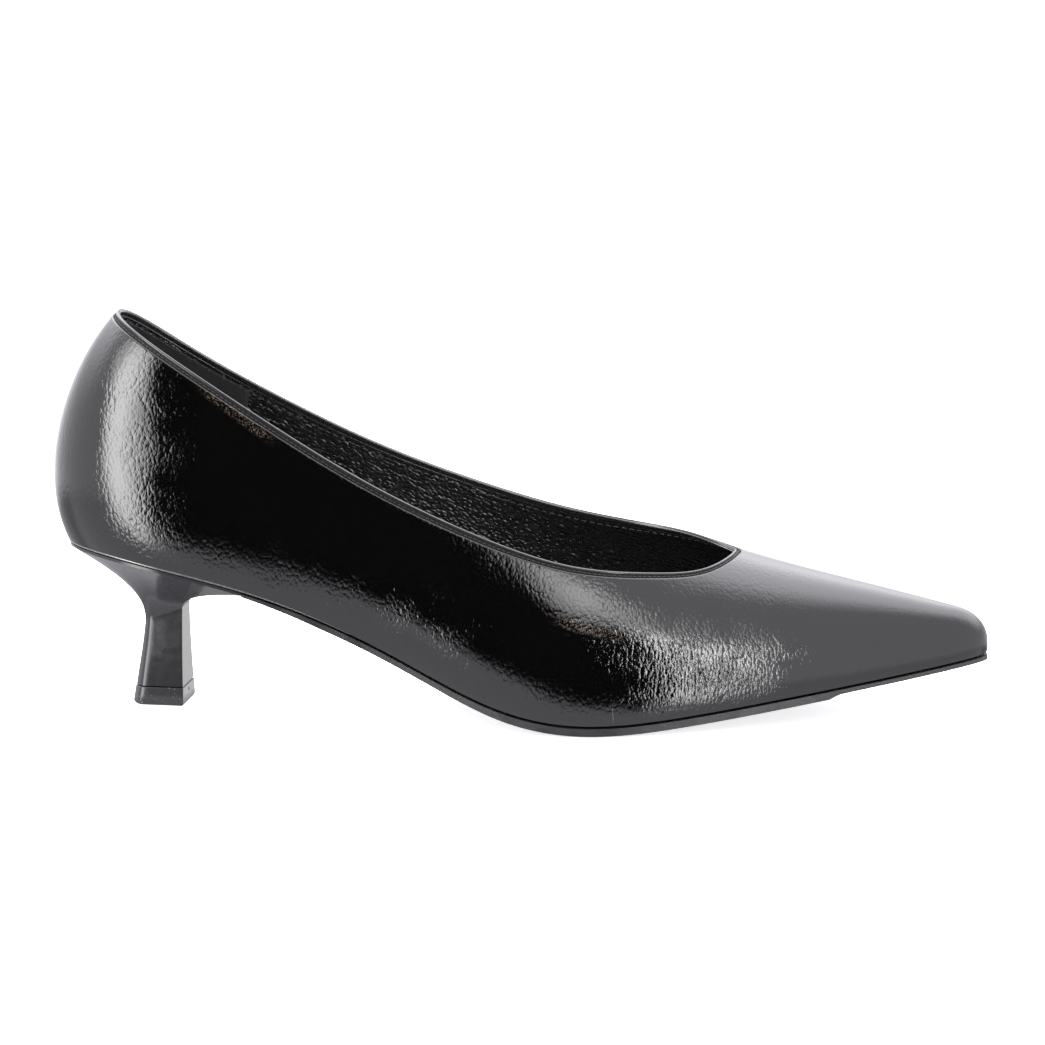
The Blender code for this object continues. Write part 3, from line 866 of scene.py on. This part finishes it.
def ramp(tree, value, low, high, at_low=0.0, at_high=1.0):
    """Return a value that turns smoothly from one number to another between low and high."""
    inputs = {"Value": value, "From Min": low, "From Max": high, "To Min": at_low, "To Max": at_high}
    return add_node(tree, "ShaderNodeMapRange", inputs, interpolation_type="SMOOTHSTEP").outputs[0]


def new_material(name, colour, **shader_values):
    """Return a new material, its tree and its shader, with the values that are the same all over."""
    material = bpy.data.materials.new(name)
    material.use_nodes = True
    shader = material.node_tree.nodes["Principled BSDF"]
    shader.inputs["Base Color"].default_value = (*colour, 1.0)
    for key, value in shader_values.items():
        shader.inputs[key.replace("_", " ").title().replace("Ior", "IOR")].default_value = value
    return material, material.node_tree, shader


def place_in_mm(tree, stretch=(1.0, 1.0, 1.0), lean=0.0):
    """Return the place on the shoe in millimetres, leant by degrees in side view and stretched."""
    place = add_node(tree, "ShaderNodeTexCoord", {}).outputs["Object"]
    turn = (0.0, np.radians(lean), 0.0)
    leant = add_node(tree, "ShaderNodeMapping", {"Vector": place, "Rotation": turn}).outputs[0]
    scale = tuple(1 / (MM * part) for part in stretch)
    return add_node(tree, "ShaderNodeMapping", {"Vector": leant, "Scale": scale}).outputs[0]


def noise(tree, place, size, detail=2.0, rough=0.5, bend=0.0):
    """Return cloudy noise with features of about the given size in millimetres."""
    inputs = {"Vector": place, "Scale": 1 / size, "Detail": detail, "Roughness": rough, "Distortion": bend}
    return add_node(tree, "ShaderNodeTexNoise", inputs).outputs["Fac"]


def bump(tree, height, depth):
    """Return the normals of a relief whose height from 0 to 1 is so deep in millimetres."""
    inputs = {"Height": height, "Distance": depth * MM, "Strength": 1.0}
    return add_node(tree, "ShaderNodeBump", inputs).outputs[0]


def grey(value):
    """Return a colour that is equal in red, green and blue."""
    return value, value, value


def tint(tree, factor, low, high):
    """Return a colour that runs from low, a colour or another node's output, to high with the factor."""
    node = add_node(tree, "ShaderNodeMix", {"Factor": factor}, data_type="RGBA")
    sockets = {socket.name: socket for socket in node.inputs if socket.type == "RGBA"}
    if isinstance(low, bpy.types.NodeSocket):
        tree.links.new(low, sockets["A"])
    else:
        sockets["A"].default_value = (*low, 1.0)
    sockets["B"].default_value = (*high, 1.0)
    return next(socket for socket in node.outputs if socket.type == "RGBA")


# A noise has features of about a size in millimetres, with so much detail and roughness. A value that follows
# it turns from its low to its high end over the span.
Noise = namedtuple("Noise", "size detail rough", defaults=(0.5,))
NOISE_SPAN = (0.3, 0.7)

# The upper's leather: small upright domes with creases between them and a fine crinkle over them. They are
# flatter round the back of the heel, towards the toe, and in patches.
GRAIN_STRETCH = (1.0, 1.0, 1.5)
GRAIN_SIZE = 0.95
GRAIN_DEPTH = 0.055
GRAIN_WAVE = 1.8
GRAIN_BEND = 0.9
CRINKLE_SIZE = 0.55
CRINKLE_BEND = 0.8
CRINKLE_SHARE = 0.6
PATCH_SIZE = 9.0
PATCH_SPAN = (0.35, 0.65)
PATCHES = (0.55, 1.2)
SMOOTH_BACK = (8.0, 24.0)
BACK_SHARE = 0.6
SMOOTH_TOE = (196.0, 226.0)
TOE_SHARE = 0.3
LEATHER_CLOUDS = Noise(14.0, 3.0)
LEATHER_COLOURS = ((0.0004, 0.0004, 0.0004), (0.0009, 0.0008, 0.0008))
LEATHER_DULL = (0.24, 0.32)

# Marks on the outer side: a line from place to place in side view, and its half width.
# Rubs: brown specks of rubbed finish, partly a painted brownish sparkle highlight. Thin light lines are
# whole.
Mark = namedtuple("Mark", "x0 z0 x1 z1 half_width")
RUBS_AND_SPARKLE = (
    Mark(44.0, 97.0, 68.0, 79.4, 1.9),
    Mark(144.0, 33.8, 167.0, 27.2, 2.2),
)
# A thin light grey line on the outer side's leather, near the ball
THIN_LIGHT_LINES = (
    Mark(162.0, 9.6, 162.4, 3.8, 0.12),
)
SPECKS = Noise(0.38, 1.0)
SPECK_SPAN = (0.53, 0.64)
RUBBED_AND_SPARKLE_BROWN = (0.06, 0.046, 0.034)
LIGHT_LINE_GREY = (0.05, 0.05, 0.05)

# The lining's grain: pebbles drawn out along the topline
PEBBLE_STRETCH = (1.9, 1.0, 1.0)
PEBBLE_SIZE = 0.8
PEBBLE_LEAN = -32.0
PEBBLE_DEPTH = 0.42

# Finishes of the other pieces. colour: the noise that the colour follows, from low to high, in specks if it
# has a span. dull: the roughness that its noise runs through. relief: the depth of its noise in millimetres,
# which the coat follows too if asked. A noise that isn't given is the colour's. values: the same all over.
FINISH_FIELDS = "colour low high span dull dull_noise relief relief_noise coat_relief values"
Finish = namedtuple("Finish", FINISH_FIELDS, defaults=(None, None, None, None, None, False, {}))
FINISHES = {
    "binding_leather": Finish(
        Noise(0.5, 3.0), grey(0.003), grey(0.008), dull=(0.28, 0.42), relief=0.03,
        coat_relief=True, values={"specular_ior_level": 0.0, "coat_weight": 1.0, "coat_roughness": 0.07}),
    "binding_strip": Finish(
        Noise(0.5, 3.0), grey(0.002), grey(0.005), dull=(0.5, 0.65), relief=0.04,
        values={"specular_ior_level": 0.15}),
    # The foot fold is the upper's own leather; its light colour is a painted highlight along the leather's
    # lower edge.
    "foot_fold_painted_highlight": Finish(
        Noise(1.2, 3.0), grey(0.02), (0.09, 0.088, 0.086), dull=(0.2, 0.35),
        values={"specular_ior_level": 0.5, "coat_weight": 1.0, "coat_roughness": 0.1}),
    "lining_fold": Finish(
        Noise(0.6, 2.0), grey(0.004), grey(0.012), dull=(0.2, 0.3), relief=0.03,
        values={"specular_ior_level": 0.8}),
    "lining_leather": Finish(
        Noise(5.0, 2.0), grey(0.003), grey(0.006), dull=(0.24, 0.32),
        values={"specular_ior_level": 0.85}),
    "outer_thread": Finish(
        Noise(0.18, 1.0), grey(0.003), grey(0.01), relief=0.05,
        values={"roughness": 0.55}),
    "inner_thread": Finish(
        Noise(0.18, 1.0), grey(0.02), (0.055, 0.054, 0.052), relief=0.05,
        values={"roughness": 0.55}),
    "heel_grip": Finish(
        Noise(0.35, 4.0, 0.65), (0.004, 0.0038, 0.0036), (0.011, 0.0105, 0.01), relief=0.06,
        values={"roughness": 0.8, "sheen_weight": 0.1, "sheen_roughness": 0.4}),
    "sock": Finish(
        Noise(22.0, 2.0), grey(0.006), (0.011, 0.01, 0.01), dull=(0.42, 0.55), relief=0.05,
        relief_noise=Noise(0.6, 4.0, 0.6), values={"coat_weight": 0.2, "coat_roughness": 0.35}),
    "sole": Finish(
        Noise(0.4, 3.0), (0.004, 0.004, 0.0045), (0.013, 0.013, 0.014), dull=(0.32, 0.5),
        dull_noise=Noise(6.0, 2.0), relief=0.04, values={"specular_ior_level": 0.5}),
    "heel_lacquer": Finish(
        Noise(0.25, 0.0), (0.016, 0.0157, 0.017), grey(0.06), span=(0.78, 0.84),
        dull=(0.1, 0.15), dull_noise=Noise(2.5, 1.0), relief=0.012, relief_noise=Noise(2.5, 1.0),
        values={"specular_ior_level": 0.3}),
    "top_piece": Finish(
        Noise(0.5, 1.0), (0.02, 0.02, 0.021), grey(0.2), span=(0.7, 0.75), dull=(0.12, 0.18),
        dull_noise=Noise(0.3, 3.0), relief=0.004, relief_noise=Noise(0.3, 3.0),
        values={"specular_ior_level": 0.3}),
}


def plain_material(name):
    """A material whose colour, roughness and relief follow the noises of its finish."""
    finish = FINISHES[name]
    material, tree, shader = new_material(name, finish.low, **finish.values)
    place = place_in_mm(tree)
    share = noise(tree, place, *finish.colour)
    if finish.span:
        share = ramp(tree, share, *finish.span)
    tree.links.new(tint(tree, share, finish.low, finish.high), shader.inputs["Base Color"])
    if finish.dull:
        grain = noise(tree, place, *(finish.dull_noise or finish.colour))
        tree.links.new(ramp(tree, grain, *NOISE_SPAN, *finish.dull), shader.inputs["Roughness"])
    if finish.relief:
        grain = noise(tree, place, *(finish.relief_noise or finish.colour))
        normal = bump(tree, grain, finish.relief)
        tree.links.new(normal, shader.inputs["Normal"])
        if finish.coat_relief:
            tree.links.new(normal, shader.inputs["Coat Normal"])
    return material


def hollows(tree, place, size):
    """Return a height that rises from the middle of each cell, of about the given size in millimetres."""
    cells = add_node(tree, "ShaderNodeTexVoronoi", {"Vector": place, "Scale": 1 / size}).outputs["Distance"]
    return calculate(tree, "MULTIPLY", cells, cells)


def lining_material():
    """Black lining leather with a glossy pebbled grain."""
    material = plain_material("lining_leather")
    tree = material.node_tree
    shader = tree.nodes["Principled BSDF"]
    place = place_in_mm(tree, PEBBLE_STRETCH, PEBBLE_LEAN)
    pebbles = calculate(tree, "SUBTRACT", 1.0, hollows(tree, place, PEBBLE_SIZE))
    tree.links.new(bump(tree, pebbles, PEBBLE_DEPTH), shader.inputs["Normal"])
    return material


def mark_mask(tree, parts, mark):
    """Return 1 on a mark of the outer side and 0 away from it."""
    run = np.array((mark.x1 - mark.x0, mark.z1 - mark.z0))
    length = float(np.linalg.norm(run))
    ahead, rise = (float(share) for share in run / length)
    x = calculate(tree, "SUBTRACT", parts["X"], mark.x0 - float(ORIGIN[0]))
    z = calculate(tree, "SUBTRACT", parts["Z"], mark.z0)
    along = calculate(tree, "MULTIPLY_ADD", x, ahead, calculate(tree, "MULTIPLY", z, rise))
    across = calculate(tree, "MULTIPLY_ADD", x, -rise, calculate(tree, "MULTIPLY", z, ahead))
    past_middle = calculate(tree, "ABSOLUTE", calculate(tree, "SUBTRACT", along, length / 2))
    on_length = ramp(tree, past_middle, length / 4, length / 2, 1.0, 0.0)
    on_width = ramp(tree, calculate(tree, "ABSOLUTE", across), mark.half_width / 3, mark.half_width, 1.0, 0.0)
    outer_side = calculate(tree, "LESS_THAN", parts["Y"], 0.0)
    return calculate(tree, "MULTIPLY", calculate(tree, "MULTIPLY", on_length, on_width), outer_side)


def marks_mask(tree, parts, marks):
    """Return 1 on any of the marks."""
    masks = [mark_mask(tree, parts, mark) for mark in marks]
    together = masks[0]
    for mask in masks[1:]:
        together = calculate(tree, "MAXIMUM", together, mask)
    return together


def leather_relief(tree, parts):
    """Return the height of the leather's grain."""
    place = place_in_mm(tree, GRAIN_STRETCH)
    wave = add_node(tree, "ShaderNodeTexNoise", {"Vector": place, "Scale": 1 / GRAIN_WAVE}).outputs["Color"]
    inputs = {0: wave, 1: (GRAIN_BEND, GRAIN_BEND, GRAIN_BEND), 2: place}
    bent = add_node(tree, "ShaderNodeVectorMath", inputs, operation="MULTIPLY_ADD").outputs[0]
    crinkle = noise(tree, place, CRINKLE_SIZE, bend=CRINKLE_BEND)
    crinkle = calculate(tree, "MULTIPLY", crinkle, CRINKLE_SHARE)
    relief = calculate(tree, "SUBTRACT", crinkle, hollows(tree, bent, GRAIN_SIZE))
    back, toe = ([x - float(ORIGIN[0]) for x in places] for places in (SMOOTH_BACK, SMOOTH_TOE))
    strength = calculate(tree, "MULTIPLY", ramp(tree, parts["X"], *back, BACK_SHARE, 1.0),
                         ramp(tree, parts["X"], *toe, 1.0, TOE_SHARE))
    patches = ramp(tree, noise(tree, place_in_mm(tree), PATCH_SIZE), *PATCH_SPAN, *PATCHES)
    return calculate(tree, "MULTIPLY", relief, calculate(tree, "MULTIPLY", strength, patches))


def leather_material():
    """Black glossy leather with a fine crinkle under its finish, two rubs with painted sparkle, and a light
    line.
    """
    material, tree, shader = new_material("upper_leather", LEATHER_COLOURS[0], specular_ior_level=0.0,
                                          coat_weight=1.0, coat_roughness=0.05)
    place = place_in_mm(tree)
    parts = add_node(tree, "ShaderNodeSeparateXYZ", {"Vector": place}).outputs
    normal = bump(tree, leather_relief(tree, parts), GRAIN_DEPTH)
    clouds = noise(tree, place, *LEATHER_CLOUDS)
    specks = ramp(tree, noise(tree, place, *SPECKS), *SPECK_SPAN)
    # Brown specks where the finish is rubbed, partly a painted sparkle highlight
    rubs_and_sparkle = calculate(tree, "MULTIPLY", marks_mask(tree, parts, RUBS_AND_SPARKLE), specks)
    colour = tint(tree, clouds, *LEATHER_COLOURS)
    colour = tint(tree, rubs_and_sparkle, colour, RUBBED_AND_SPARKLE_BROWN)
    colour = tint(tree, marks_mask(tree, parts, THIN_LIGHT_LINES), colour, LIGHT_LINE_GREY)
    tree.links.new(ramp(tree, clouds, *NOISE_SPAN, *LEATHER_DULL), shader.inputs["Roughness"])
    tree.links.new(colour, shader.inputs["Base Color"])
    tree.links.new(normal, shader.inputs["Normal"])
    tree.links.new(normal, shader.inputs["Coat Normal"])
    return material


# Stage, light and camera

def make_floor():
    """A plain pale floor, left out of reflections: the shoe reflects the light tent alone."""
    half = FLOOR_SIDE / 2
    mesh = bpy.data.meshes.new("floor")
    corners = [(-half, -half, -FLOOR_DROP), (half, -half, -FLOOR_DROP), (half, half, -FLOOR_DROP),
               (-half, half, -FLOOR_DROP)]
    mesh.from_pydata(corners, [], [(0, 1, 2, 3)])
    floor = bpy.data.objects.new("floor", mesh)
    bpy.context.scene.collection.objects.link(floor)
    material, tree, shader = new_material("floor", FLOOR_COLOURS[0], roughness=0.9, specular_ior_level=0.0,
                                          emission_strength=FLOOR_GLOW)
    shader.inputs["Emission Color"].default_value = (1.0, 1.0, 1.0, 1.0)
    clouds = noise(tree, place_in_mm(tree), FLOOR_CLOUD_SIZE)
    tree.links.new(tint(tree, clouds, *FLOOR_COLOURS), shader.inputs["Base Color"])
    mesh.materials.append(material)
    floor.visible_glossy = False


def panel_mask(tree, across, height, panel):
    """Return 1 inside a panel of a screen and 0 outside it."""
    left = calculate(tree, "MULTIPLY_ADD", height, -panel.left_lean, across)
    right = calculate(tree, "MULTIPLY_ADD", height, -panel.right_lean, across)
    edges = (
        ramp(tree, left, panel.left - panel.side_blur, panel.left + panel.side_blur),
        ramp(tree, right, panel.right - panel.side_blur, panel.right + panel.side_blur, 1.0, 0.0),
        ramp(tree, height, panel.low - panel.low_blur, panel.low + panel.low_blur),
        ramp(tree, height, panel.high - panel.high_blur, panel.high + panel.high_blur, 1.0, 0.0),
    )
    mask = edges[0]
    for edge in edges[1:]:
        mask = calculate(tree, "MULTIPLY", mask, edge)
    return mask


def blend_to(tree, mask, light, value):
    """Return the light so far, blended to a value where the mask is 1."""
    change = calculate(tree, "SUBTRACT", value, light)
    return calculate(tree, "MULTIPLY_ADD", mask, change, light)


def make_light_tent():
    """The white cloth all round."""
    world = bpy.data.worlds.new("light_tent")
    bpy.context.scene.world = world
    world.use_nodes = True
    tree = world.node_tree
    background = tree.nodes["Background"]
    direction = add_node(tree, "ShaderNodeTexCoord", {}).outputs["Generated"]
    parts = add_node(tree, "ShaderNodeSeparateXYZ", {"Vector": direction}).outputs
    height = calculate(tree, "DEGREES", calculate(tree, "ARCSINE", parts["Z"]))
    far = calculate(tree, "MULTIPLY", ramp(tree, parts["Y"], *FAR_DEPTHS), ramp(tree, height, *FAR_HEIGHTS))
    light = blend_to(tree, far, TENT_LIGHT, FAR_LIGHT)
    floor = ramp(tree, parts["Y"], *BACK_FLOOR_DEPTHS, FLOOR_LIGHT, BACK_FLOOR_LIGHT)
    light = blend_to(tree, ramp(tree, height, *FLOOR_EDGE, 1.0, 0.0), light, floor)
    tree.links.new(light, background.inputs["Strength"])
    background.inputs["Color"].default_value = TENT_COLOUR


def screen_material(name, panels):
    """Clear cloth that shows the tent behind it, with the dark opening and the bright panels."""
    material = bpy.data.materials.new(name)
    material.use_nodes = True
    tree = material.node_tree
    tree.nodes.remove(tree.nodes["Principled BSDF"])
    parts = add_node(tree, "ShaderNodeSeparateXYZ", {"Vector": place_in_mm(tree)}).outputs
    across = calculate(tree, "ADD", parts["X"], float(ORIGIN[0]))
    shown = 0.0
    light = 0.0
    for panel in panels:
        mask = panel_mask(tree, across, parts["Z"], panel)
        shown = blend_to(tree, mask, shown, 1.0)
        light = blend_to(tree, mask, light, panel.light)
    strength = calculate(tree, "DIVIDE", light, calculate(tree, "MAXIMUM", shown, SMALL_STEP))
    clear = add_node(tree, "ShaderNodeBsdfTransparent", {})
    glow = add_node(tree, "ShaderNodeEmission", {"Strength": strength})
    both = add_node(tree, "ShaderNodeMixShader", {0: shown, 1: clear.outputs[0], 2: glow.outputs[0]})
    tree.links.new(both.outputs[0], tree.nodes["Material Output"].inputs["Surface"])
    return material


def make_screen(name, side, panels):
    """One side of the tent, seen in the shoe's gloss alone."""
    y = side * SCREEN_AWAY
    corners = [(SCREEN_LEFT, y, SCREEN_LOW), (SCREEN_RIGHT, y, SCREEN_LOW), (SCREEN_RIGHT, y, SCREEN_HIGH),
               (SCREEN_LEFT, y, SCREEN_HIGH)]
    mesh = bpy.data.meshes.new(name)
    mesh.from_pydata(((np.array(corners) - ORIGIN) * MM).tolist(), [], [(0, 1, 2, 3)])
    mesh.materials.append(screen_material(name, panels))
    screen = bpy.data.objects.new(name, mesh)
    bpy.context.scene.collection.objects.link(screen)
    screen.visible_camera = False
    screen.visible_diffuse = False
    screen.visible_shadow = False


def make_camera():
    """The camera at the photo's angle, framing the whole shoe."""
    turn = np.radians(CAMERA_TURN)
    height = np.radians(CAMERA_HEIGHT)
    back = Vector((np.sin(turn) * np.cos(height), -np.cos(turn) * np.cos(height), np.sin(height)))
    right = Vector((np.cos(turn), np.sin(turn), 0.0))
    top = back.cross(right)
    data = bpy.data.cameras.new("camera")
    data.sensor_width = SENSOR
    data.lens = PIXELS_PER_MM * CAMERA_DISTANCE * SENSOR / IMAGE_SIDE
    camera = bpy.data.objects.new("camera", data)
    bpy.context.scene.collection.objects.link(camera)
    place = Vector((CAMERA_TARGET - ORIGIN) * MM) + back * CAMERA_DISTANCE * MM
    axes = Matrix((right, top, back)).transposed().to_4x4()
    camera.matrix_world = Matrix.Translation(place) @ axes
    bpy.context.scene.camera = camera


def main():
    make_camera()
    make_light_tent()
    make_screen("outer_screen", OUTER, OUTER_PANELS)
    make_screen("inner_screen", INNER, INNER_PANELS)
    make_floor()
    bpy.context.scene.view_settings.view_transform = "Standard"
    make_upper(leather_material())
    make_foot_fold(plain_material("foot_fold_painted_highlight"))
    make_lining(lining_material())
    make_heel_grip(plain_material("heel_grip"))
    make_edging("binding_strip", STRIP_PROFILE, plain_material("binding_strip"))
    make_edging("binding_rim", RIM_PROFILE, plain_material("binding_leather"))
    make_edging("binding_inner_face", INNER_PROFILE, plain_material("lining_fold"))
    make_edging("lining_fold", FOLD_PROFILE, plain_material("lining_fold"))
    make_stitches(OUTER_STITCHES, plain_material("outer_thread"))
    make_stitches(INNER_STITCHES, plain_material("inner_thread"))
    make_sock(plain_material("sock"))
    make_outsole(plain_material("sole"))
    make_heel(plain_material("heel_lacquer"))
    make_top_piece(plain_material("top_piece"))


main()
